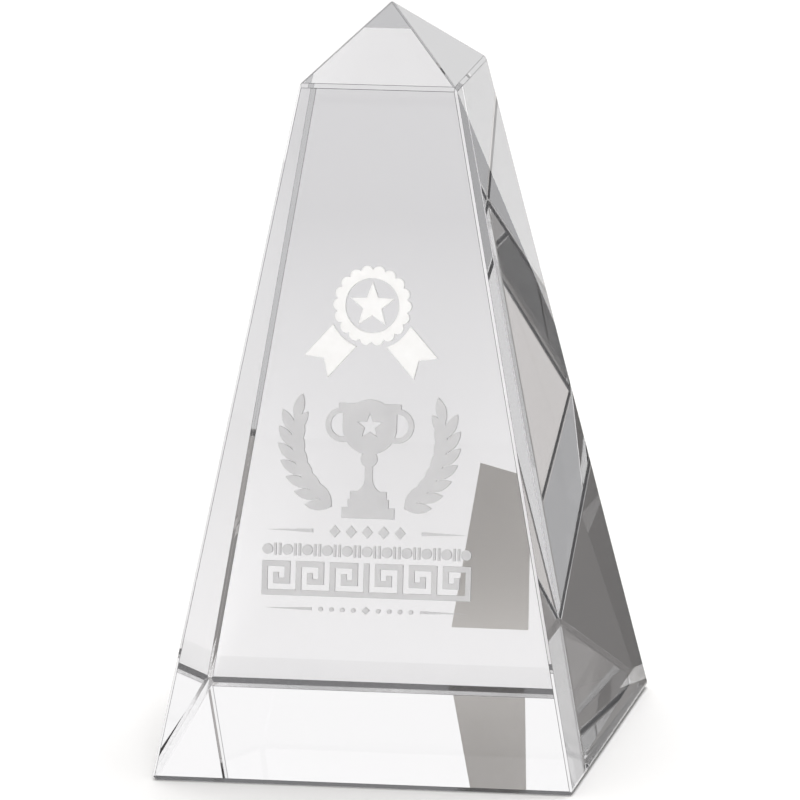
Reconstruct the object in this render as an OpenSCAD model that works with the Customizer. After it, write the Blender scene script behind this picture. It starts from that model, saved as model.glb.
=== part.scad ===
// Crystal award: a tapered square obelisk of solid optical crystal with a pyramid cap.
// Its front face is sand-carved with an award design, and every carved pocket holds a thin
// coat of fill. The origin is at the middle of the base, +Z is up, and the front faces -Y.

/* [Crystal block] */
// Overall height, from the base to the tip
height = 178; // [166:1:200]
// Width of the square base
base_w = 101; // [92:1:112]
// Width of the square shoulder where the pyramid cap begins
shoulder_w = 37.6; // [34:0.2:44]
// Height of the pyramid cap above the shoulder
cap_h = 16.6; // [12:0.2:22]
// Width of the small polished flat at the tip
tip_w = 0.6; // [0.4:0.1:1.2]

/* [Polished bevels] */
// Strip width of the bevels on the four long edges
long_bevel = 0.9; // [0.5:0.1:1.6]
// Strip width of the bevels around the base
base_bevel = 1.5; // [0.8:0.1:2.4]
// Strip width of the bevels around the shoulder
shoulder_bevel = 1.2; // [0.6:0.1:1.8]
// Strip width of the bevels on the hips of the cap
hip_bevel = 0.5; // [0.3:0.1:0.9]

/* [Carving] */
// Depth of the carved pockets below the front face
carve_depth = 0.8; // [0.5:0.1:1.4]
// Thickness of the fill that lies on each pocket's floor
fill_t = 0.5; // [0.2:0.1:0.5]

/* [Rosette] */
// Height of the rosette's centre, measured up the sloping front face
rosette_up = 113.4; // [112.4:0.2:115]
// Outer radius of the scalloped rosette
rosette_r = 9.4; // [8:0.1:9.8]
// Number of scallops around the rosette
scallop_count = 18; // [12:1:24]
// Width of each ribbon tail
ribbon_w = 7.6; // [5:0.2:8]
// Angle that each ribbon tail swings out from straight down
ribbon_swing = 42; // [36:1:48]

/* [Cup and laurels] */
// Height of the cup's foot, measured up the front face
cup_up = 63.4; // [62.6:0.2:65]
// Height of the cup from foot to rim
cup_h = 27; // [24:0.2:28]
// Number of leaf pairs on each laurel branch
leaf_pairs = 7; // [5:1:8]
// Length of one laurel leaf
leaf_l = 6.6; // [5:0.2:7.4]
// Width of one laurel leaf
leaf_w = 2.5; // [1.6:0.1:2.8]

/* [Borders] */
// Overall width of the carved borders
border_w = 50; // [44:1:52]
// Height of the lozenge row, measured up the front face
lozenge_up = 60.2; // [59.8:0.1:60.6]
// Height of the bead row, measured up the front face
bead_up = 55.6; // [55.2:0.1:56]
// Height of the key border's lower edge, measured up the front face
key_up = 44.8; // [44.4:0.1:45.2]
// Height of the dot row, measured up the front face
dot_up = 41.8; // [41.4:0.1:42.2]

/* [Hidden] */
$fn = 96;

shoulder_z = height - cap_h;
// How far each long face leans back from upright
face_lean = atan((base_w - shoulder_w) / 2 / shoulder_z);
reach = 3 * height;

CRYSTAL = [0.88, 0.91, 0.93, 0.35];
WHITE_FILL = [0.96, 0.96, 0.96];
FROST_FILL = [0.82, 0.82, 0.84];

// ---- the crystal block: a solid left where many half-spaces overlap ----

// The outward direction of a face that rises from one height and half-width to another
function lean_out(low_z, low_x, high_z, high_x) =
    let (rise = high_z - low_z, inset = low_x - high_x, len = norm([rise, inset]))
    [0, -rise / len, inset / len];

function quarter_turn(v) = [-v.y, v.x, v.z];

DOWN = [0, 0, -1];
SIDE_OUT = lean_out(0, base_w / 2, shoulder_z, shoulder_w / 2);
CAP_OUT = lean_out(shoulder_z, shoulder_w / 2, height, tip_w / 2);

// Everything on the inner side of a plane through a point, with its outward direction
module half_space(out, point) {
    translate(point)
        rotate([0, acos(out.z / norm(out)), atan2(out.y, out.x)])
            translate([-reach, -reach, -2 * reach]) cube(2 * reach);
}

// The flat that cuts a bevel strip of the given width off the edge between two faces
module bevel(out_a, out_b, edge_point, strip_w) {
    middle = (out_a + out_b) / norm(out_a + out_b);
    turn = acos(out_a * out_b);
    half_space(middle, edge_point - middle * strip_w / 2 * tan(turn / 2));
}

module crystal_blank() {
    base_corner = [base_w / 2, -base_w / 2, 0];
    shoulder_corner = [shoulder_w / 2, -shoulder_w / 2, shoulder_z];
    tip_corner = [tip_w / 2, -tip_w / 2, height];
    intersection_for (turn = [0:90:270]) rotate([0, 0, turn]) intersection() {
        half_space(SIDE_OUT, base_corner);
        half_space(CAP_OUT, shoulder_corner);
        half_space(DOWN, base_corner);
        half_space(-DOWN, tip_corner);
        bevel(SIDE_OUT, DOWN, base_corner, base_bevel);
        bevel(SIDE_OUT, CAP_OUT, shoulder_corner, shoulder_bevel);
        bevel(SIDE_OUT, quarter_turn(SIDE_OUT), base_corner, long_bevel);
        bevel(CAP_OUT, quarter_turn(CAP_OUT), tip_corner, hip_bevel);
    }
}

// ---- placing the design: x runs right, y runs up the slope, z points out of the face ----

module on_front_face() {
    translate([0, -base_w / 2, 0]) rotate([90 - face_lean, 0, 0]) children();
}

module carved() {
    on_front_face() translate([0, 0, -carve_depth]) linear_extrude(2 * carve_depth) children();
}

module filled() {
    on_front_face() translate([0, 0, -carve_depth]) linear_extrude(fill_t) children();
}

// ---- flat shapes that the motifs share ----

// A pointed leaf along x: the overlap of two equal circles
module leaf(length, width) {
    arc_r = (length * length + width * width) / (4 * width);
    intersection() {
        translate([0, arc_r - width / 2]) circle(arc_r);
        translate([0, width / 2 - arc_r]) circle(arc_r);
    }
}

module star(outer_r, points = 5, inner_ratio = 0.42) {
    polygon([for (i = [0:2 * points - 1])
        let (r = outer_r * (i % 2 == 0 ? 1 : inner_ratio), a = 90 + i * 180 / points)
        [r * cos(a), r * sin(a)]]);
}

module lozenge(width, tall) {
    polygon([[-width / 2, 0], [0, -tall / 2], [width / 2, 0], [0, tall / 2]]);
}

module centred_bar(width, low, tall) {
    translate([-width / 2, low]) square([width, tall]);
}

// A rule that starts blunt on the inner side and runs out to a point
module tapered_rule(inner, outer, thick) {
    polygon([[inner, -thick / 2], [outer, 0], [inner, thick / 2]]);
}

module both_sides() {
    children();
    mirror([1, 0]) children();
}

// ---- the rosette ----

rim_inner_r = rosette_r * 0.68;
scallop_r = rosette_r * PI / scallop_count * 0.9;
ribbon_start = rosette_r + 0.9;
ribbon_end = rosette_r + 10.2;
ribbon_notch = 2.6;

module rosette_rim() {
    translate([0, rosette_up]) difference() {
        union() {
            circle(rosette_r - scallop_r * 0.6);
            for (i = [0:scallop_count - 1]) rotate(i * 360 / scallop_count)
                translate([rosette_r - scallop_r, 0]) circle(scallop_r);
        }
        circle(rim_inner_r);
    }
}

module rosette_star() {
    translate([0, rosette_up]) star(rim_inner_r - 0.8);
}

module ribbon_tail() {
    translate([0, rosette_up]) rotate(ribbon_swing) difference() {
        polygon([[-ribbon_w / 2, 0], [-ribbon_w / 2, -ribbon_end],
                 [0, ribbon_notch - ribbon_end],
                 [ribbon_w / 2, -ribbon_end], [ribbon_w / 2, 0]]);
        circle(ribbon_start);
    }
}

// ---- the cup: rim, bowl, knop, flared stem, foot and plinth, with two ring handles ----

bowl_r = cup_h * 0.24;
rim_t = 1.5;
rim_low = cup_h - rim_t;
bowl_low = rim_low - 4;
stem_low = 6;
stem_w = 1.9;
flare_r = 3.4;
knop_r = 2;
handle_r = 4.1;
handle_t = 1.3;
cup_star_r = 3;
cup_star_up = 0.2;

module cup_stem() {
    stem_top = bowl_low - bowl_r + 1;
    centred_bar(stem_w, stem_low, stem_top - stem_low);
    translate([0, stem_top - knop_r]) circle(knop_r);
    difference() {
        centred_bar(stem_w + 2 * flare_r, stem_low, flare_r);
        for (side = [-1, 1])
            translate([side * (stem_w / 2 + flare_r), stem_low + flare_r]) circle(flare_r);
    }
}

module cup_bowl() {
    centred_bar(2 * bowl_r, bowl_low, rim_low - bowl_low);
    translate([0, bowl_low]) circle(bowl_r);
    centred_bar(2 * bowl_r + 2, rim_low, rim_t);
}

module cup_foot() {
    centred_bar(12.6, 0, 2.6);
    centred_bar(9.8, 2, 2.6);
    centred_bar(stem_w + 2 * flare_r, 4, stem_low - 3.6);
}

module cup_handles() {
    both_sides() translate([bowl_r, bowl_low + 0.4]) difference() {
        circle(handle_r);
        circle(handle_r - handle_t);
    }
}

module cup() {
    translate([0, cup_up]) {
        cup_stem();
        cup_foot();
        difference() {
            union() {
                cup_bowl();
                cup_handles();
            }
            translate([0, bowl_low + cup_star_up]) star(cup_star_r);
        }
    }
}

// ---- one laurel branch, curving up beside the cup ----

branch_r = 18.2;
branch_centre = 82;
branch_from = -60;
branch_to = 14;
stem_t = 0.7;
leaf_spread = 30;
leaf_shift = 0.42;

module laurel_stem() {
    difference() {
        circle(branch_r + stem_t / 2);
        circle(branch_r - stem_t / 2);
        rotate(branch_to) translate([-reach, 0]) square([2 * reach, reach]);
        rotate(branch_from) translate([-reach, -reach]) square([2 * reach, reach]);
        translate([-reach, -reach]) square([reach, 2 * reach]);
    }
}

module laurel_branch() {
    step = (branch_to - branch_from) / leaf_pairs;
    translate([0, branch_centre]) {
        laurel_stem();
        for (i = [0:leaf_pairs - 1]) rotate(branch_from + i * step) translate([branch_r, 0]) {
            for (side = [-1, 1]) rotate(90 + side * leaf_spread)
                translate([leaf_l * leaf_shift, 0]) leaf(leaf_l, leaf_w);
        }
        rotate(branch_to) translate([branch_r, 0]) rotate(90)
            translate([leaf_l * leaf_shift, 0]) leaf(leaf_l, leaf_w);
    }
}

// ---- the borders and rules under the cup ----

rule_inner = border_w * 0.26;
rule_outer = border_w * 0.48;
rule_t = 0.9;

module lozenge_row() {
    translate([0, lozenge_up]) for (i = [-2:2]) translate([i * 3.9, 0]) lozenge(2.6, 3);
}

module upper_rules() {
    translate([0, lozenge_up]) both_sides() tapered_rule(rule_inner, rule_outer, rule_t);
}

bead_r = 1.25;
bead_count = 11;
reel_w = 0.6;
reel_h = 2.9;
reel_gap = 0.55;

// Beads with a pair of upright reels between each two
module bead_row() {
    pitch = (border_w - 2 * bead_r) / (bead_count - 1);
    translate([0, bead_up]) {
        for (i = [0:bead_count - 1]) translate([(i - (bead_count - 1) / 2) * pitch, 0])
            circle(bead_r);
        for (i = [1:bead_count - 1], side = [-1, 1])
            translate([(i - bead_count / 2) * pitch + side * reel_gap, -reel_h / 2])
                translate([-reel_w / 2, 0]) square([reel_w, reel_h]);
    }
}

key_units = 3;
key_cells_wide = 6;
key_cell = border_w / 2 / (key_units * key_cells_wide + 0.5);

// One hook of the key pattern, drawn on a grid of square cells
module key_unit() {
    square([6, 1]);
    square([1, 6]);
    translate([0, 5]) square([5, 1]);
    translate([4, 2]) square([1, 4]);
    translate([2, 2]) square([3, 1]);
    translate([2, 2]) square([1, 2]);
}

// The hooks run in from both ends and meet at a post in the middle
module key_border() {
    translate([0, key_up]) scale(key_cell) {
        centred_bar(1, 0, 6);
        both_sides() for (i = [1:key_units])
            translate([-0.5 - i * key_cells_wide, 0]) key_unit();
    }
}

module dot_row() {
    translate([0, dot_up]) {
        lozenge(2, 1.8);
        both_sides() for (i = [1:4]) translate([0.4 + i * 2.6, 0]) circle(0.55);
    }
}

module lower_rules() {
    translate([0, dot_up]) both_sides() tapered_rule(rule_inner, rule_outer, rule_t * 0.8);
}

// ---- the nodes ----

module crystal_obelisk() {
    color(CRYSTAL) difference() {
        crystal_blank();
        carved() rosette_rim();
        carved() rosette_star();
        carved() both_sides() ribbon_tail();
        carved() cup();
        carved() both_sides() laurel_branch();
        carved() lozenge_row();
        carved() upper_rules();
        carved() bead_row();
        carved() key_border();
        carved() dot_row();
        carved() lower_rules();
    }
}

module rosette_rim_fill() { color(WHITE_FILL) filled() rosette_rim(); }
module rosette_star_fill() { color(WHITE_FILL) filled() rosette_star(); }
module right_ribbon_fill() { color(WHITE_FILL) filled() ribbon_tail(); }
module left_ribbon_fill() { color(WHITE_FILL) filled() mirror([1, 0]) ribbon_tail(); }
module cup_fill() { color(FROST_FILL) filled() cup(); }
module right_laurel_fill() { color(FROST_FILL) filled() laurel_branch(); }
module left_laurel_fill() { color(FROST_FILL) filled() mirror([1, 0]) laurel_branch(); }
module lozenge_row_fill() { color(FROST_FILL) filled() lozenge_row(); }
module upper_rule_fill() { color(FROST_FILL) filled() upper_rules(); }
module bead_row_fill() { color(FROST_FILL) filled() bead_row(); }
module key_border_fill() { color(FROST_FILL) filled() key_border(); }
module dot_row_fill() { color(FROST_FILL) filled() dot_row(); }
module lower_rule_fill() { color(FROST_FILL) filled() lower_rules(); }

crystal_obelisk();
rosette_rim_fill();
rosette_star_fill();
left_ribbon_fill();
right_ribbon_fill();
cup_fill();
left_laurel_fill();
right_laurel_fill();
lozenge_row_fill();
upper_rule_fill();
bead_row_fill();
key_border_fill();
dot_row_fill();
lower_rule_fill();
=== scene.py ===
# %% [markdown]
# # A crystal award, from measured frame to finished look
#
# The award is one solid block of optical crystal, ground to a tapered square obelisk with a
# pyramid cap. Its front is sand-carved, and each carved pocket is filled with a coat of lacquer:
# white for the rosette and its ribbons, frosted grey for the cup, the laurels and the borders.
#
# The frame is the measured model. It gives the place and size of everything, so no size is
# typed in twice. This notebook makes the block and the coats, then their finishes, then the
# light that a clear object needs.

# %% Load the frame
import math

import bpy
from mathutils import Matrix, Quaternion, Vector


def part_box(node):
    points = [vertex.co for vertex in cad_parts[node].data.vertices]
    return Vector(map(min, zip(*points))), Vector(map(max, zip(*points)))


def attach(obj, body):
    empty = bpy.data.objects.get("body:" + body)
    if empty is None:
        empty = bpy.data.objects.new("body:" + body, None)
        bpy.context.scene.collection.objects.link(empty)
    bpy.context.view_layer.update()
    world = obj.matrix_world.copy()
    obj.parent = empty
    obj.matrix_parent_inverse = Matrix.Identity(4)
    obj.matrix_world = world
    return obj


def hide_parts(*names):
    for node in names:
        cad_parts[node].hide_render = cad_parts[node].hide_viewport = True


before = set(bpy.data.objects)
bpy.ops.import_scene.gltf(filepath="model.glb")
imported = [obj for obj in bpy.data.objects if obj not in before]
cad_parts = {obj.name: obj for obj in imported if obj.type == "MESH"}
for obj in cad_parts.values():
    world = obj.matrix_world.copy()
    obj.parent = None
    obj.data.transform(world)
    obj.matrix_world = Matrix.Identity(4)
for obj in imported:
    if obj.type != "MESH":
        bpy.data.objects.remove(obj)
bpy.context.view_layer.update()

MM = 0.001

# %% [markdown]
# ## Small helpers
#
# A Blender operator works on whatever is selected, so each step first selects one piece alone.
# Inside a piece, faces are picked in code by the way they face, as a hand would click them.

# %% Helpers for selecting
LOOKS_THAT_WAY = 0.99


def only(piece):
    """Select one piece alone and make it the active one"""
    bpy.ops.object.select_all(action="DESELECT")
    piece.select_set(True)
    bpy.context.view_layer.objects.active = piece


def select_faces_looking(piece, direction):
    """In edit mode, select just the faces whose normal is close to a direction"""
    bpy.ops.mesh.select_all(action="DESELECT")
    bpy.ops.object.mode_set(mode="OBJECT")
    for face in piece.data.polygons:
        face.select = face.normal.dot(direction) > LOOKS_THAT_WAY
    bpy.ops.object.mode_set(mode="EDIT")


def apply_modifier(piece, modifier):
    only(piece)
    bpy.ops.object.modifier_apply(modifier=modifier.name)


# %% [markdown]
# ## The flats of the block
#
# A crystal cutter does not carve an obelisk. The cutter grinds flats, one after another, on a
# spinning wheel, and every flat is a plane. All four sides are alike, so a quarter of the block
# has just six kinds of flat. Each is measured on the frame: the largest face that looks roughly
# the right way gives the plane exactly.

# %% Measure the flats
crystal_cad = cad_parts["crystal_obelisk"]
ROUGHLY_THAT_WAY = 0.985


def measure_flat(rough_direction):
    """The outward normal of a flat and a point on it"""
    rough = Vector(rough_direction).normalized()
    near = [
        face for face in crystal_cad.data.polygons if face.normal.dot(rough) > ROUGHLY_THAT_WAY
    ]
    largest = max(near, key=lambda face: face.area)
    return largest.normal.copy(), largest.center.copy()


flats = {
    "side": measure_flat((0, -1, 0.2)),
    "cap": measure_flat((0, -1, 1.1)),
    "long bevel": measure_flat((1, -1, 0.4)),
    "hip bevel": measure_flat((0.45, -0.45, 1)),
    "shoulder bevel": measure_flat((0, -1, 0.57)),
    "base bevel": measure_flat((0, -1, -0.82)),
}
front_out, front_point = flats["side"]
for name, (out, point) in flats.items():
    print(f"{name:15s} leans {math.degrees(math.asin(out.z)):6.2f} degrees from upright")

# %% [markdown]
# ## Sawing the blank
#
# The work starts as a sawn blank, a plain box. The cube primitive plays that part, added at
# the size and place of the whole block. Applying the scale puts the true size into the mesh,
# so that later widths are real widths.

# %% Saw the blank
block_low, block_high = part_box("crystal_obelisk")
bpy.ops.object.select_all(action="DESELECT")
bpy.ops.mesh.primitive_cube_add(
    size=1, location=(block_low + block_high) / 2, scale=block_high - block_low
)
crystal = bpy.context.object
crystal.name = "crystal_block"
bpy.ops.object.transform_apply(location=True, rotation=False, scale=True)
print("blank, in millimetres:", [round(n / MM, 1) for n in crystal.dimensions])

# %% [markdown]
# ## Grinding the flats
#
# Bisect is the grinding wheel. It takes off all that lies past a plane and closes the cut with
# one flat face. A facet made this way is truly flat, which matters in crystal: a facet bent by
# a hair shows a bent picture of the room. Each flat is ground four times, a quarter turn apart.

# %% Grind the flats
KEEP_CLOSE_POINTS = 1e-7


def grind(out, point):
    """Take off all that lies past one plane"""
    bpy.ops.mesh.select_all(action="SELECT")
    bpy.ops.mesh.bisect(
        plane_co=point,
        plane_no=out,
        use_fill=True,
        clear_outer=True,
        threshold=KEEP_CLOSE_POINTS,
    )


bpy.ops.object.mode_set(mode="EDIT")
for out, point in flats.values():
    for turn in range(4):
        quarter = Matrix.Rotation(math.radians(90 * turn), 3, "Z")
        grind(quarter @ out, quarter @ point)
bpy.ops.object.mode_set(mode="OBJECT")
print("flats on the block:", len(crystal.data.polygons))

# %% [markdown]
# ## Softening the arrises
#
# An arris is the sharp line where two flats meet. Left sharp, crystal chips and cuts fingers,
# so the cutter passes each arris lightly over a fine wheel. That leaves a narrow band, here a
# little over half a millimetre wide, that is not as clear as the flats. Its material paints
# shade into it: a dark tint draws the fine grey lines around every facet.
#
# The Bevel modifier does this, only where the turn is sharp. Two material slots come first, for
# flats and for arrises, because a bevel can only hand its new faces to a slot that is there.
# The bevel round the foot goes in the arris slot too. It takes the knocks, so it is only
# fine-ground, never polished, and the painted shade of that slot makes it the dark line at the
# bottom. Its faces are picked as the ones that lean downwards but do not face straight down.

# %% Round the arrises
FLAT_SLOT, ARRIS_SLOT = range(2)
ARRIS_WIDTH = 0.42 * MM
SHARP_TURN = math.radians(12)
FOOT_LEANS_DOWN, FOOT_LEANS_OUT = -0.9, -0.1
while len(crystal.material_slots) <= ARRIS_SLOT:
    bpy.ops.object.material_slot_add()
arris = crystal.modifiers.new("arris", "BEVEL")
arris.width = ARRIS_WIDTH
arris.segments = 2
arris.limit_method = "ANGLE"
arris.angle_limit = SHARP_TURN
arris.material = ARRIS_SLOT
apply_modifier(crystal, arris)
# The foot bevel joins the arris slot, so its painted shade draws the dark line at the bottom.
for face in crystal.data.polygons:
    if FOOT_LEANS_DOWN < face.normal.z < FOOT_LEANS_OUT:
        face.material_index = ARRIS_SLOT
bands = [face for face in crystal.data.polygons if face.material_index == ARRIS_SLOT]
print("faces on the arrises:", len(bands))

# %% [markdown]
# ## Copying the fills
#
# The frame holds each lacquer fill as a flat slab, sunk into the front face. Copies of the
# slabs are worked into the finished coats, because the frame itself is never changed. Merging
# the points and dissolving the flat areas turns many small triangles back into whole faces,
# which an inset needs. The stored normals of the slab are cleared, since they would shade the
# new slopes as if they were still the old sides.

# %% A worked copy of a fill
MERGE_WITHIN = 0.001 * MM
SAME_FLAT = math.radians(0.3)


def copy_of_node(node, name):
    """A merged copy of a frame node, with its flat areas joined into whole faces"""
    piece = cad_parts[node].copy()
    piece.data = piece.data.copy()
    piece.name = name
    piece.parent = None
    bpy.context.scene.collection.objects.link(piece)
    for key in list(piece.keys()):
        del piece[key]
    only(piece)
    bpy.ops.object.mode_set(mode="EDIT")
    bpy.ops.mesh.select_all(action="SELECT")
    bpy.ops.mesh.remove_doubles(threshold=MERGE_WITHIN)
    bpy.ops.mesh.dissolve_limited(angle_limit=SAME_FLAT)
    bpy.ops.object.mode_set(mode="OBJECT")
    bpy.ops.mesh.customdata_custom_splitnormals_clear()
    bpy.ops.object.shade_flat()
    return piece


def top_height(piece):
    """How far the top of a piece stands over the front face"""
    return max((vertex.co - front_point).dot(front_out) for vertex in piece.data.vertices)


def raise_top(piece, height, inset=0.0, rise=0.0):
    """Move the top of a piece to a height over the front face, then inset it and lift that"""
    move = height - top_height(piece)
    only(piece)
    bpy.ops.object.mode_set(mode="EDIT")
    select_faces_looking(piece, front_out)
    bpy.ops.transform.translate(value=front_out * move)
    if inset:
        bpy.ops.mesh.inset(thickness=inset, depth=rise, use_boundary=True, use_even_offset=True)
    bpy.ops.object.mode_set(mode="OBJECT")


# %% [markdown]
# ## Filling the pockets
#
# The frame keeps each fill a little below the face. Here the pocket is drawn full: the lacquer
# stands just over the brim, and surface tension pulls its edge down to the crystal in a narrow
# slope. So the top of a coat meets the front face at its outline and then rises: the top face
# is inset by the width of the slope and lifted in the same move. The slope catches light on one
# side and shade on the other, and draws the outline. The thin rules end in points too narrow
# for a slope, so they are only lifted a little.
#
# The body of the coat stays sunk in the block, where the frame has it. No pocket is cut in the
# block for it, because a pocket that is full shows nothing of its own. An empty one would: its
# walls throw dozens of mirrored lines about inside the crystal.

# %% Make the coats
SLOPE = 0.15 * MM
OVER_BRIM = 0.1 * MM
fill_nodes = sorted(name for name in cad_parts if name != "crystal_obelisk")
coats = {}
for node in fill_nodes:
    coat = copy_of_node(node, node.replace("_fill", "_coat"))
    if "rule" in node:
        raise_top(coat, OVER_BRIM / 2)
    else:
        raise_top(coat, 0, SLOPE, OVER_BRIM)
    coats[node] = coat
print("coats:", ", ".join(coat.name for coat in coats.values()))

# %% [markdown]
# ## Handing the pieces to the frame
#
# Every piece rides on the body it belongs to and takes the place of the frame node it was made
# from. The award has no moving part, so all ride on the root.

# %% Ride and replace
WHITE_NODES = (
    "rosette_rim_fill",
    "rosette_star_fill",
    "left_ribbon_fill",
    "right_ribbon_fill",
)
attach(crystal, "root")
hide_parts("crystal_obelisk")
for node, coat in coats.items():
    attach(coat, "root")
    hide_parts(node)
print("pieces handed over:", 1 + len(coats))

# %% [markdown]
# ## Helpers for materials
#
# A few small functions keep the materials short. The first turns a colour as a designer writes
# it into the linear numbers that light adds up in. Two more add a node with its settings and
# links, and start a material. The next makes a noise pattern from the true size of its grain,
# measured on the object itself so that the pattern stays on the piece. The last three use such
# a pattern: for a number, for a colour and for relief.

# %% Material helpers
SRGB_TOE = 0.04045
NOISE_LOW, NOISE_HIGH = 0.3, 0.7


def linear(hex_colour):
    """An sRGB hex colour as linear red, green, blue and alpha"""
    channels = [int(hex_colour[i : i + 2], 16) / 255 for i in (0, 2, 4)]
    return [
        c / 12.92 if c <= SRGB_TOE else ((c + 0.055) / 1.055) ** 2.4 for c in channels
    ] + [1]


def add_node(tree, kind, settings=(), links=()):
    """Add a node, with values for its sockets or properties and links to its sockets"""
    node = tree.nodes.new(kind)
    for name, value in dict(settings).items():
        if name in node.inputs:
            node.inputs[name].default_value = value
        else:
            setattr(node, name, value)
    for name, socket in dict(links).items():
        tree.links.new(socket, node.inputs[name])
    return node


def new_material(name, colour, roughness):
    """A material that is one Principled shader, with its tree and the shader"""
    material = bpy.data.materials.new(name)
    material.use_nodes = True
    shader = material.node_tree.nodes["Principled BSDF"]
    shader.inputs["Base Color"].default_value = linear(colour)
    shader.inputs["Roughness"].default_value = roughness
    return material, material.node_tree, shader


def grain(tree, size, detail=2.0):
    """Noise whose blotches are about one size across, in metres"""
    place = add_node(tree, "ShaderNodeTexCoord")
    noise = add_node(
        tree,
        "ShaderNodeTexNoise",
        {"Scale": 1 / size, "Detail": detail},
        {"Vector": place.outputs["Object"]},
    )
    return noise.outputs["Fac"]


def spread(tree, pattern, low, high):
    """Stretch a noise, which seldom leaves the middle of its range, from low to high"""
    between = add_node(
        tree,
        "ShaderNodeMapRange",
        {"From Min": NOISE_LOW, "From Max": NOISE_HIGH, "To Min": low, "To Max": high},
        {"Value": pattern},
    )
    return between.outputs["Result"]


def blend(tree, pattern, first, second):
    """One colour where the pattern is low, another where it is high"""
    mix = add_node(tree, "ShaderNodeMixRGB", {"Color1": linear(first), "Color2": linear(second)})
    tree.links.new(pattern, mix.inputs["Fac"])
    return mix.outputs["Color"]


def bump(tree, shader, pattern, height):
    """Raise and sink the surface by a pattern, up to a height in metres"""
    relief = add_node(
        tree, "ShaderNodeBump", {"Strength": 1.0, "Distance": height}, {"Height": pattern}
    )
    tree.links.new(relief.outputs["Normal"], shader.inputs["Normal"])


# %% [markdown]
# ## Polished optical crystal
#
# Optical crystal is a dense lead-free glass with an index near 1.55, cast, annealed for days so
# that no streaks stay inside, then polished with cerium oxide until a surface is smoother than
# light can feel. To the eye that gives perfectly sharp pictures in every facet, and hardly any
# colour of its own: the tint here is the faintest cool grey. What remains is handling: smudges,
# two centimetres across, that take the very edge off the gloss. They vary the roughness by a
# hundredth, and nothing else.

# %% Polished crystal
CRYSTAL_INDEX = 1.55
SMUDGE_SIZE = 22 * MM
crystal_glass, tree, shader = new_material("polished_optical_crystal", "F5F5F7", 0.0)
shader.inputs["Transmission Weight"].default_value = 1.0
shader.inputs["IOR"].default_value = CRYSTAL_INDEX
smudges = grain(tree, SMUDGE_SIZE, detail=4)
tree.links.new(spread(tree, smudges, 0.0, 0.012), shader.inputs["Roughness"])
crystal.material_slots[FLAT_SLOT].material = crystal_glass
print("crystal index:", CRYSTAL_INDEX)

# %% [markdown]
# ## Fine-ground arris, with painted shade
#
# The arris band is the same crystal, left as the fine wheel leaves it: a satin surface that
# scatters light and so passes less of it straight on. Its dark tint is painted shade, which
# draws the band as a thin grey line. That shade is a little lighter or darker along its length,
# following the wheel marks that also vary the roughness.

# %% Fine-ground arris with painted shade
WHEEL_MARK = 0.8 * MM
# The dark base colour is painted shade on the arris band.
arris_glass_painted_shade, tree, shader = new_material("fine_ground_arris_painted_shade", "2B2B2D", 0.14)
shader.inputs["Transmission Weight"].default_value = 1.0
shader.inputs["IOR"].default_value = CRYSTAL_INDEX
wheel = grain(tree, WHEEL_MARK)
tree.links.new(spread(tree, wheel, 0.08, 0.2), shader.inputs["Roughness"])
# The painted shade goes a little lighter or darker with the wheel marks.
tree.links.new(blend(tree, wheel, "242426", "323234"), shader.inputs["Base Color"])
crystal.material_slots[ARRIS_SLOT].material = arris_glass_painted_shade
print("wheel marks, in millimetres:", round(WHEEL_MARK / MM, 2))

# %% [markdown]
# ## White lacquer
#
# The rosette and its ribbons are filled with white lacquer, wiped or sprayed in while the
# stencil is still on. It dries matt over the sand-carved ground, so the grit still shows as a
# fine tooth in the surface, and the coat is a touch thinner and greyer in places. The real
# pits are a few hundredths of a millimetre; they are drawn at a fifth of a millimetre, or they
# would vanish altogether. Lacquer also lets a little light wander inside it, which softens the
# shade on the slopes.
#
# One more thing concerns the mirrored ghosts of the coats inside the block. A ray that leaves
# the block under a coat would be caught in the dark inside of the coat. So a lacquer is solid
# only from outside: Backfacing is 1 on the inside, and there the alpha goes to 0.

# %% White lacquer


def solid_from_outside(tree, shader):
    """Let a ray that is already inside the coat leave it unseen"""
    side = add_node(tree, "ShaderNodeNewGeometry")
    outside = add_node(tree, "ShaderNodeMath", {"operation": "SUBTRACT"})
    outside.inputs[0].default_value = 1.0
    tree.links.new(side.outputs["Backfacing"], outside.inputs[1])
    tree.links.new(outside.outputs["Value"], shader.inputs["Alpha"])


GRIT_SIZE = 0.2 * MM
THIN_PATCH = 3 * MM
LIGHT_WANDERS = 1 * MM
LACQUER_INDEX = 1.48
LIGHT_LET_IN = 0.35
ALL_COLOURS_ALIKE = (1, 1, 1)
WHITE_TOOTH = 0.006 * MM
white_lacquer, tree, shader = new_material("white_lacquer_on_carved_ground", "FAFAFA", 0.6)
shader.inputs["IOR"].default_value = LACQUER_INDEX
shader.inputs["Subsurface Weight"].default_value = LIGHT_LET_IN
shader.inputs["Subsurface Radius"].default_value = ALL_COLOURS_ALIKE
shader.inputs["Subsurface Scale"].default_value = LIGHT_WANDERS
tooth = grain(tree, GRIT_SIZE)
thin = grain(tree, THIN_PATCH, detail=3)
tree.links.new(blend(tree, thin, "F7F7F7", "EEEEED"), shader.inputs["Base Color"])
tree.links.new(spread(tree, tooth, 0.52, 0.68), shader.inputs["Roughness"])
bump(tree, shader, tooth, WHITE_TOOTH)
solid_from_outside(tree, shader)
print("grit, in millimetres:", round(GRIT_SIZE / MM, 2))

# %% [markdown]
# ## Frosted grey lacquer
#
# The cup, the laurels and the borders carry a pale silver-grey frost, the usual finish for
# carved crystal that should read softly. It is sprayed thin and dry, so it is rougher than the
# white, and its grey drifts slightly with the thickness of the spray.

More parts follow.
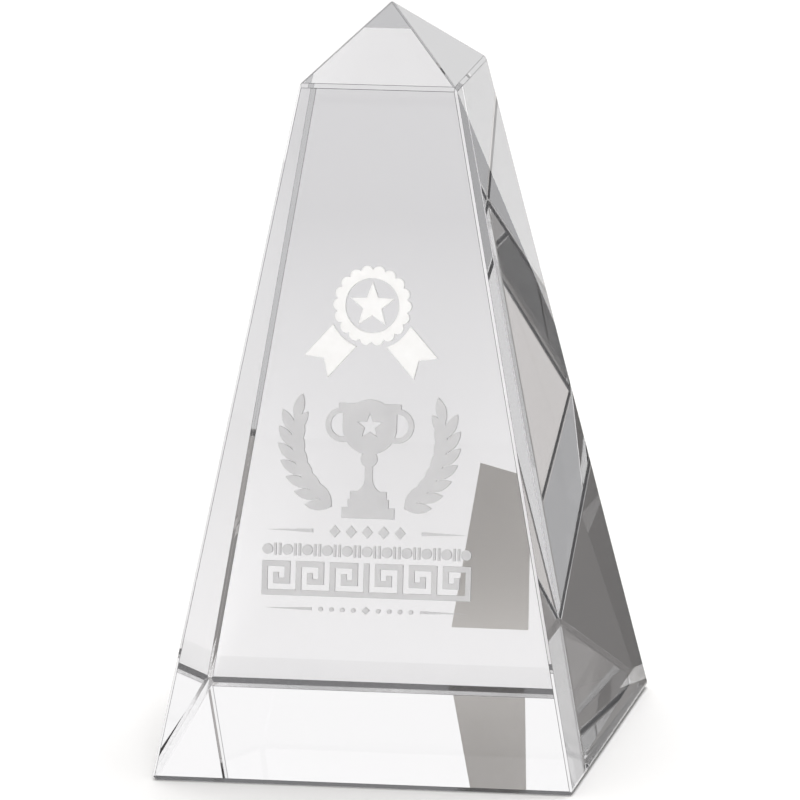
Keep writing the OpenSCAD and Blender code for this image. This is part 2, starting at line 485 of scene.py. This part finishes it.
# %% Frosted lacquer
SPRAY_DRIFT = 7 * MM
FROST_TOOTH = 0.008 * MM
frost_lacquer, tree, shader = new_material("frosted_grey_lacquer", "CBCBCC", 0.68)
shader.inputs["IOR"].default_value = LACQUER_INDEX
shader.inputs["Subsurface Weight"].default_value = LIGHT_LET_IN
shader.inputs["Subsurface Radius"].default_value = ALL_COLOURS_ALIKE
shader.inputs["Subsurface Scale"].default_value = LIGHT_WANDERS
tooth = grain(tree, GRIT_SIZE)
drift = grain(tree, SPRAY_DRIFT, detail=3)
tree.links.new(blend(tree, drift, "D3D3D4", "C3C3C5"), shader.inputs["Base Color"])
tree.links.new(spread(tree, tooth, 0.6, 0.78), shader.inputs["Roughness"])
bump(tree, shader, tooth, FROST_TOOTH)
solid_from_outside(tree, shader)
print("spray drift, in millimetres:", round(SPRAY_DRIFT / MM, 2))

# %% [markdown]
# ## Painting the coats
#
# The copies still hold the plain material of the frame, so it is taken off first. The coats
# are also hidden from mirror rays. Inside a block like this every carved line repeats many
# times over as a ghost, and on a real set the block is turned by hand until they hide. One
# visibility switch does the same: the coats stay in plain sight from the front, and from
# behind through the crystal, and only their mirrored ghosts are gone.

# %% Paint the coats
for node, coat in coats.items():
    coat.data.materials.clear()
    coat.data.materials.append(white_lacquer if node in WHITE_NODES else frost_lacquer)
    coat.visible_glossy = False
print("white coats:", len(WHITE_NODES), "frosted coats:", len(coats) - len(WHITE_NODES))

# %% [markdown]
# ## The floor
#
# A wide sheet of matt white paper lies under the award. It reaches far past the picture so
# that no edge shows, and lies a hair below the base to keep the two surfaces apart.

# %% Lay the floor
FLOOR_WIDTH = 12
UNDER_BASE = 0.02 * MM
PAPER_FIBRE = 1.5 * MM
bpy.ops.object.select_all(action="DESELECT")
bpy.ops.mesh.primitive_plane_add(size=FLOOR_WIDTH, location=(0, 0, -UNDER_BASE))
floor = bpy.context.object
floor.name = "studio_floor"
floor_paper, tree, shader = new_material("matt_white_paper", "F2F2F2", 0.9)
fibre = grain(tree, PAPER_FIBRE)
tree.links.new(blend(tree, fibre, "F3F3F3", "F1F1F1"), shader.inputs["Base Color"])
floor.data.materials.append(floor_paper)
print("floor, in metres across:", FLOOR_WIDTH)

# %% [markdown]
# ## The room around
#
# Crystal has no look of its own: it shows the room, bent and folded. So the room is designed.
# Behind the award a pale wall glows up to about thirty degrees and is dark above. In front the
# room is a dim, slightly warm grey, darkest where the light of the ceiling ends. The pale wall
# comes through the faces and makes them clear; the dark parts come through the bevels and the
# folded corners and draw them.
#
# A sky made of two ramps does it. Each ramp gives a grey for each height, and the way a ray
# points, to the back or to the front, chooses between them. The Standard view transform keeps
# those greys as they are set.

# %% Paint the room
scene = bpy.context.scene
scene.view_settings.view_transform = "Standard"
world = bpy.data.worlds.new("studio_room")
scene.world = world
world.use_nodes = True
sky = world.node_tree
background = sky.nodes["Background"]
way = add_node(sky, "ShaderNodeTexCoord")
parts = add_node(sky, "ShaderNodeSeparateXYZ", links={"Vector": way.outputs["Generated"]})
NEUTRAL = (1, 0.995, 0.985)
WARM = (1, 0.965, 0.935)


def sky_ramp(stops, tint):
    """Greys against the height of a ray, from -1 straight down to 1 straight up"""
    up = add_node(sky, "ShaderNodeMapRange", {"From Min": -1.0}, {"Value": parts.outputs["Z"]})
    ramp = add_node(sky, "ShaderNodeValToRGB", links={"Fac": up.outputs["Result"]})
    ramp.color_ramp.interpolation = "EASE"
    while len(ramp.color_ramp.elements) < len(stops):
        ramp.color_ramp.elements.new(0.5)
    for element, (height, level) in zip(ramp.color_ramp.elements, stops):
        element.position = (height + 1) / 2
        element.color = [level * part for part in tint] + [1]
    return ramp.outputs["Color"]


def sky_mix(factor, first, second):
    """The first colour where the factor is 0, the second where it is 1"""
    mix = add_node(sky, "ShaderNodeMixRGB", links={"Fac": factor, "Color1": first})
    if isinstance(second, (list, tuple)):
        mix.inputs["Color2"].default_value = second
    else:
        sky.links.new(second, mix.inputs["Color2"])
    return mix.outputs["Color"]


def smooth_step(value, low, high):
    """A soft step from 0 to 1 as a value rises from low to high"""
    step = add_node(
        sky,
        "ShaderNodeMapRange",
        {"From Min": low, "From Max": high, "interpolation_type": "SMOOTHSTEP"},
        {"Value": value},
    )
    return step.outputs["Result"]


wall_behind = sky_ramp(
    [(-0.2, 0.95), (0.1, 1.0), (0.45, 0.95), (0.58, 0.4), (0.8, 0.45), (1, 0.5)], NEUTRAL
)
room_before = sky_ramp(
    [(-0.2, 0.6), (0, 0.5), (0.25, 0.4), (0.5, 0.35), (0.65, 0.22), (0.9, 0.4), (1, 0.5)], WARM
)
FRONT_ENDS, BACK_STARTS = 0.35, 0.8
to_the_back = smooth_step(parts.outputs["Y"], FRONT_ENDS, BACK_STARTS)
room = sky_mix(to_the_back, room_before, wall_behind)

# %% [markdown]
# ## Two windows in the room
#
# Two soft pale patches break up the dim part, as windows would. One stands in front to the
# left: its light crosses the block and fills the middle of the right flank. The other stands
# at the left, and only lifts a few small wedges at the top of that flank. Each is a round
# patch around one direction of the compass and one height, with a soft rim.

# %% Open the windows
HARD_CORE, SOFT_RIM = 0.7, 1.4


def towards(azimuth, elevation):
    """The direction at a compass angle from the back and a height over the floor"""
    turn, rise = math.radians(azimuth), math.radians(elevation)
    return Vector(
        (math.sin(turn) * math.cos(rise), math.cos(turn) * math.cos(rise), math.sin(rise))
    )


def window(colour, azimuth, elevation, radius, level):
    """Lay a soft round patch of one grey over the sky"""
    near = add_node(sky, "ShaderNodeVectorMath", {"operation": "DOT_PRODUCT"})
    sky.links.new(way.outputs["Generated"], near.inputs[0])
    near.inputs[1].default_value = towards(azimuth, elevation)
    rim = math.cos(math.radians(radius * SOFT_RIM))
    core = math.cos(math.radians(radius * HARD_CORE))
    inside = smooth_step(near.outputs["Value"], rim, core)
    return sky_mix(inside, colour, [level * part for part in WARM] + [1])


lit_room = window(room, azimuth=-139, elevation=33, radius=8, level=0.82)
lit_room = window(lit_room, azimuth=-74, elevation=24, radius=12, level=0.66)
sky.links.new(lit_room, background.inputs["Color"])
ROOM_BRIGHTNESS = 1.1
background.inputs["Strength"].default_value = ROOM_BRIGHTNESS
print("room brightness:", ROOM_BRIGHTNESS)

# %% [markdown]
# ## Two softboxes
#
# A big softbox hangs over the paper behind the award and makes it plain white. A second one,
# in front and above, lights the lacquer. Both are kept out of the crystal: a lamp seen in a
# facet would burn a white hole there.

# %% Hang the softboxes


def softbox(name, place, aim, width, power):
    """A square area light that the crystal does not see"""
    light = bpy.data.lights.new(name, "AREA")
    light.size = width
    light.energy = power
    lamp = bpy.data.objects.new(name, light)
    scene.collection.objects.link(lamp)
    lamp.location = place
    lamp.rotation_euler = (Vector(aim) - Vector(place)).to_track_quat("-Z", "Y").to_euler()
    lamp.visible_glossy = False
    lamp.visible_transmission = False


block_middle = (0, 0, block_high.z / 2)
softbox("paper_softbox", (0, 0.7, 2.0), (0, 0.5, 0), width=1.9, power=36)
softbox("front_softbox", (0.3, -1.35, 1.05), block_middle, width=0.7, power=12)

# %% [markdown]
# ## Cards for the crystal
#
# White crystal on white paper would vanish. The old remedy is card: black felt close beside
# the block, which comes back as the dark flank, and a pale sheet behind it with painted shade,
# white near the block and greyer further back, which gives the front face its soft grey. A
# narrow card behind the right corner turns its shaded side to the block, and comes through the
# front as a grey panel. A sheet under the base glows of itself, painted light that keeps the
# folds that look down from going black.
#
# The cards are seen only by rays that have met the crystal, never by the camera or the floor.

# %% Set up the cards
CARD_OVER_FLOOR = 0.4 * MM


def card(name, width, height, place, upright, finish):
    """A flat card, upright facing the front or lying down, seen only in the crystal"""
    lean = math.radians(90) if upright else 0
    bpy.ops.object.select_all(action="DESELECT")
    bpy.ops.mesh.primitive_plane_add(size=1, location=place, rotation=(lean, 0, 0))
    sheet = bpy.context.object
    sheet.name = name
    sheet.scale = (width, height, 1)
    bpy.ops.object.transform_apply(location=True, rotation=True, scale=True)
    sheet.data.materials.append(finish)
    sheet.visible_camera = False
    sheet.visible_diffuse = False
    sheet.visible_shadow = False
    return sheet


FELT_NAP = 0.5 * MM
black_felt, tree, shader = new_material("black_felt", "1A1A1A", 1.0)
nap = grain(tree, FELT_NAP)
tree.links.new(blend(tree, nap, "161616", "1E1E1E"), shader.inputs["Base Color"])
card(
    "black_flag",
    width=0.205,
    height=0.18,
    place=(0.1475, 0.08, 0.09),
    upright=True,
    finish=black_felt,
)
card(
    "black_flag_foot",
    width=0.07,
    height=0.13,
    place=(0.087, 0.015, CARD_OVER_FLOOR),
    upright=False,
    finish=black_felt,
)
print("felt nap, in millimetres:", round(FELT_NAP / MM, 2))

# %% [markdown]
# The narrow card is cut to a wedge. Its two top corners are picked by their height and moved:
# the left one inwards, the right one down a little.

# %% The narrow grey card
grey_board, tree, shader = new_material("warm_grey_board", "F0EDE8", 0.9)
nap = grain(tree, PAPER_FIBRE)
tree.links.new(blend(tree, nap, "F2EFEA", "EEEBE6"), shader.inputs["Base Color"])
narrow = card(
    "grey_card",
    width=0.019,
    height=0.039,
    place=(0.0125, 0.075, 0.0195),
    upright=True,
    finish=grey_board,
)


def move_corner(piece, left, move):
    """Move the top corner on one side of an upright card"""
    middle = sum((vertex.co for vertex in piece.data.vertices), Vector())
    middle /= len(piece.data.vertices)
    only(piece)
    bpy.ops.object.mode_set(mode="EDIT")
    bpy.ops.mesh.select_mode(type="VERT")
    bpy.ops.mesh.select_all(action="DESELECT")
    bpy.ops.object.mode_set(mode="OBJECT")
    for vertex in piece.data.vertices:
        on_side = (vertex.co.x < middle.x) == left
        vertex.select = on_side and vertex.co.z > middle.z
    bpy.ops.object.mode_set(mode="EDIT")
    bpy.ops.transform.translate(value=move)
    bpy.ops.object.mode_set(mode="OBJECT")


move_corner(narrow, left=True, move=(6.5 * MM, 0, 0))
move_corner(narrow, left=False, move=(0, 0, -3 * MM))

# %% [markdown]
# The pale sheet carries painted shade: it goes from near white close behind the block to pale
# grey a quarter of a metre back, so the front face is lighter at its foot and greyer towards
# the top. The sheet under the base glows of itself, painted light that only the crystal sees.

# %% The pale sheet with painted shade and the glowing sheet
PAINTED_SHADE_STARTS, PAINTED_SHADE_ENDS = 0.06, 0.26
SHEET_GLOW = 0.7
GLOW_SHEET_RIM = 1 * MM
pale_paper_painted_shade, tree, shader = new_material("paper_with_painted_shade", "E8E8E8", 1.0)
place = add_node(tree, "ShaderNodeTexCoord")
along = add_node(tree, "ShaderNodeSeparateXYZ", links={"Vector": place.outputs["Object"]})
painted_shade_ramp = add_node(
    tree,
    "ShaderNodeMapRange",
    {"From Min": PAINTED_SHADE_STARTS, "From Max": PAINTED_SHADE_ENDS},
    {"Value": along.outputs["Y"]},
)
# Near white close by and greyer further back: painted shade.
tree.links.new(
    blend(tree, painted_shade_ramp.outputs["Result"], "FAFAFA", "CCCCCD"), shader.inputs["Base Color"]
)
card(
    "sheet_with_painted_shade",
    width=0.42,
    height=0.74,
    place=(-0.15, 0.43, CARD_OVER_FLOOR),
    upright=False,
    finish=pale_paper_painted_shade,
)

# The sheet under the base is painted light: it glows of itself, though it is no lamp.
glow_paper_painted_light, tree, shader = new_material("glow_paper_painted_light", "101010", 1.0)
shader.inputs["Emission Color"].default_value = linear("F0F0F0")
shader.inputs["Emission Strength"].default_value = SHEET_GLOW
glow_sheet_width = (block_high - block_low).x + 2 * GLOW_SHEET_RIM
card(
    "glow_sheet_painted_light",
    width=glow_sheet_width,
    height=glow_sheet_width,
    place=(0, 0, -UNDER_BASE / 2),
    upright=False,
    finish=glow_paper_painted_light,
)
print("glowing sheet, in millimetres across:", round(glow_sheet_width / MM, 1))

# %% [markdown]
# ## The camera
#
# A long lens from nearly three metres keeps the upright lines almost parallel, the usual choice
# for glassware. The camera stands a little to the right of the front and looks slightly down.
# It is aimed just under the middle of the block and tipped by less than a degree.

# %% Set up the camera
FROM_THE_RIGHT, FROM_ABOVE, TIPPED = 11.5, 13.53, -0.876
DISTANCE = 2.784
SENSOR_WIDTH, LENS = 36, 528.8
SEES_AS_FAR_AS = 30
aim = Vector((0.0004, 0, 0.0817))
back = towards(180 - FROM_THE_RIGHT, FROM_ABOVE)
camera_data = bpy.data.cameras.new("camera")
camera_data.sensor_width = SENSOR_WIDTH
camera_data.lens = LENS
camera_data.clip_end = SEES_AS_FAR_AS
camera = bpy.data.objects.new("camera", camera_data)
scene.collection.objects.link(camera)
scene.camera = camera
camera.location = aim + back * DISTANCE
camera.rotation_mode = "QUATERNION"
look = (-back).to_track_quat("-Z", "Y")
camera.rotation_quaternion = look @ Quaternion((0, 0, 1), math.radians(TIPPED))
print("camera distance, in metres:", DISTANCE)

# %% [markdown]
# ## Long paths of light
#
# A ray inside the block may bounce from wall to wall a dozen times before it gets out. Rays
# that give up early turn black, so the limits are raised well past the usual ones.

# %% Allow many bounces
LONG_PATH, SHORT_PATH = 32, 6
scene.cycles.max_bounces = LONG_PATH
scene.cycles.transmission_bounces = LONG_PATH
scene.cycles.glossy_bounces = LONG_PATH
scene.cycles.diffuse_bounces = SHORT_PATH
print("bounces inside the crystal:", scene.cycles.transmission_bounces)
